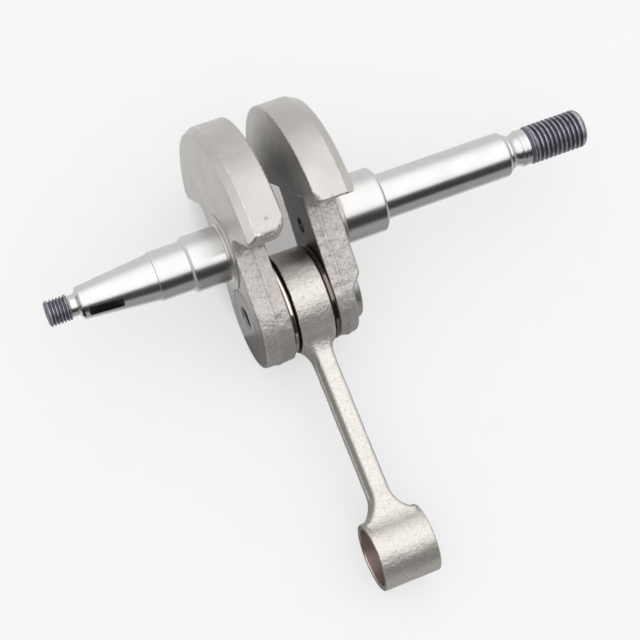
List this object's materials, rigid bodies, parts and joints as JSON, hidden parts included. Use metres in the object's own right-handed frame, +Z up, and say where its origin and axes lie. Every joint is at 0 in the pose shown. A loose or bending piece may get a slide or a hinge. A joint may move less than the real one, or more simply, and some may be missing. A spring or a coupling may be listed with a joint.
{
  "type": "crankshaft",
  "caption": "Built-up crankshaft for a small single-cylinder engine, with tapered and cylindrical ends, counterweights and a connecting rod on a caged needle bearing.",
  "frame": {"origin": "on the crank axis at the bearing shoulder of the power take-off journal", "axes": "+X along the crank axis towards the power take-off end; +Z up, with the shaft lying on its side on the webs and the small end of the rod"},
  "size_m": [0.1723, 0.1448, 0.0624],
  "materials": {
    "forged_steel": "shot-blasted forging with turned webs and ground journals",
    "ground_steel": "ground",
    "rod_steel": "shot-blasted, with a ground band round the big end",
    "cage_steel": "satin",
    "washer_steel": "polished"
  },
  "bodies": {
    "crank": {"flywheel_half": "forged_steel", "pto_half": "forged_steel", "crank_pin": "ground_steel"},
    "rod": {"connecting_rod": "rod_steel"},
    "cage": {"needle_cage": "cage_steel"},
    "washer_flywheel": {"thrust_washer_flywheel": "washer_steel"},
    "washer_pto": {"thrust_washer_pto": "washer_steel"},
    "roller_01": {"needle_01": "ground_steel"},
    "roller_02": {"needle_02": "ground_steel"},
    "roller_03": {"needle_03": "ground_steel"},
    "roller_04": {"needle_04": "ground_steel"},
    "roller_05": {"needle_05": "ground_steel"},
    "roller_06": {"needle_06": "ground_steel"},
    "roller_07": {"needle_07": "ground_steel"},
    "roller_08": {"needle_08": "ground_steel"},
    "roller_09": {"needle_09": "ground_steel"},
    "roller_10": {"needle_10": "ground_steel"},
    "roller_11": {"needle_11": "ground_steel"},
    "roller_12": {"needle_12": "ground_steel"},
    "roller_13": {"needle_13": "ground_steel"},
    "roller_14": {"needle_14": "ground_steel"}
  },
  "joints": [
    {"name": "rod_swing", "type": "hinge", "parent": "crank", "child": "rod", "pos_m": [-0.0181, -0.01883, -0.00872], "axis": [1, 0, 0], "continuous": true},
    {"name": "cage_turn", "type": "hinge", "parent": "crank", "child": "cage", "pos_m": [-0.0181, -0.01883, -0.00872], "axis": [1, 0, 0], "continuous": true},
    {"name": "washer_flywheel_turn", "type": "hinge", "parent": "crank", "child": "washer_flywheel", "pos_m": [-0.0247, -0.01883, -0.00872], "axis": [1, 0, 0], "continuous": true},
    {"name": "washer_pto_turn", "type": "hinge", "parent": "crank", "child": "washer_pto", "pos_m": [-0.0117, -0.01883, -0.00872], "axis": [1, 0, 0], "continuous": true},
    {"name": "needle_01_spin", "type": "hinge", "parent": "cage", "child": "roller_01", "pos_m": [-0.0181, -0.00936, -0.00416], "axis": [1, 0, 0], "continuous": true},
    {"name": "needle_02_spin", "type": "hinge", "parent": "cage", "child": "roller_02", "pos_m": [-0.0181, -0.01227, -0.0005], "axis": [1, 0, 0], "continuous": true},
    {"name": "needle_03_spin", "type": "hinge", "parent": "cage", "child": "roller_03", "pos_m": [-0.0181, -0.01649, 0.00153], "axis": [1, 0, 0], "continuous": true},
    {"name": "needle_04_spin", "type": "hinge", "parent": "cage", "child": "roller_04", "pos_m": [-0.0181, -0.02117, 0.00153], "axis": [1, 0, 0], "continuous": true},
    {"name": "needle_05_spin", "type": "hinge", "parent": "cage", "child": "roller_05", "pos_m": [-0.0181, -0.02538, -0.0005], "axis": [1, 0, 0], "continuous": true},
    {"name": "needle_06_spin", "type": "hinge", "parent": "cage", "child": "roller_06", "pos_m": [-0.0181, -0.0283, -0.00416], "axis": [1, 0, 0], "continuous": true},
    {"name": "needle_07_spin", "type": "hinge", "parent": "cage", "child": "roller_07", "pos_m": [-0.0181, -0.02934, -0.00872], "axis": [1, 0, 0], "continuous": true},
    {"name": "needle_08_spin", "type": "hinge", "parent": "cage", "child": "roller_08", "pos_m": [-0.0181, -0.0283, -0.01328], "axis": [1, 0, 0], "continuous": true},
    {"name": "needle_09_spin", "type": "hinge", "parent": "cage", "child": "roller_09", "pos_m": [-0.0181, -0.02538, -0.01694], "axis": [1, 0, 0], "continuous": true},
    {"name": "needle_10_spin", "type": "hinge", "parent": "cage", "child": "roller_10", "pos_m": [-0.0181, -0.02117, -0.01897], "axis": [1, 0, 0], "continuous": true},
    {"name": "needle_11_spin", "type": "hinge", "parent": "cage", "child": "roller_11", "pos_m": [-0.0181, -0.01649, -0.01897], "axis": [1, 0, 0], "continuous": true},
    {"name": "needle_12_spin", "type": "hinge", "parent": "cage", "child": "roller_12", "pos_m": [-0.0181, -0.01227, -0.01694], "axis": [1, 0, 0], "continuous": true},
    {"name": "needle_13_spin", "type": "hinge", "parent": "cage", "child": "roller_13", "pos_m": [-0.0181, -0.00936, -0.01328], "axis": [1, 0, 0], "continuous": true},
    {"name": "needle_14_spin", "type": "hinge", "parent": "cage", "child": "roller_14", "pos_m": [-0.0181, -0.00831, -0.00872], "axis": [1, 0, 0], "continuous": true}
  ],
  "couplings": [
    {"joint": "cage_turn", "follows": "rod_swing", "ratio": 0.572},
    {"joint": "needle_01_spin", "follows": "rod_swing", "ratio": 3.4669},
    {"joint": "needle_02_spin", "follows": "rod_swing", "ratio": 3.4669},
    {"joint": "needle_03_spin", "follows": "rod_swing", "ratio": 3.4669},
    {"joint": "needle_04_spin", "follows": "rod_swing", "ratio": 3.4669},
    {"joint": "needle_05_spin", "follows": "rod_swing", "ratio": 3.4669},
    {"joint": "needle_06_spin", "follows": "rod_swing", "ratio": 3.4669},
    {"joint": "needle_07_spin", "follows": "rod_swing", "ratio": 3.4669},
    {"joint": "needle_08_spin", "follows": "rod_swing", "ratio": 3.4669},
    {"joint": "needle_09_spin", "follows": "rod_swing", "ratio": 3.4669},
    {"joint": "needle_10_spin", "follows": "rod_swing", "ratio": 3.4669},
    {"joint": "needle_11_spin", "follows": "rod_swing", "ratio": 3.4669},
    {"joint": "needle_12_spin", "follows": "rod_swing", "ratio": 3.4669},
    {"joint": "needle_13_spin", "follows": "rod_swing", "ratio": 3.4669},
    {"joint": "needle_14_spin", "follows": "rod_swing", "ratio": 3.4669}
  ]
}
